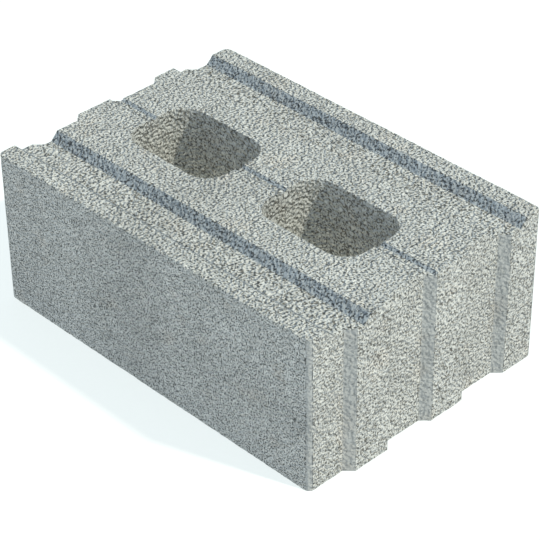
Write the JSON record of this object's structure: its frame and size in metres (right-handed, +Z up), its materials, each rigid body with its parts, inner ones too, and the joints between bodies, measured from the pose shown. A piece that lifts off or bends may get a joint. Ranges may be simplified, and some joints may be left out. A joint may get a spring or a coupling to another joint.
{
  "type": "concrete block",
  "caption": "Hollow lightweight concrete wall block with interlocking tongue and groove ends, long bed grooves in its top face and rounded upright cores.",
  "frame": {"origin": "middle of the underside, under the centre of the overall box of length, width and height", "axes": "+X along the length towards the end that carries the projecting tongues, +Y across the thickness of the wall, +Z up through the cores towards the grooved bed face"},
  "size_m": [0.51, 0.35, 0.2],
  "materials": {
    "concrete": "open-grained lightweight aggregate concrete, matt and dry"
  },
  "bodies": {
    "root": {"block": "concrete"}
  },
  "joints": []
}
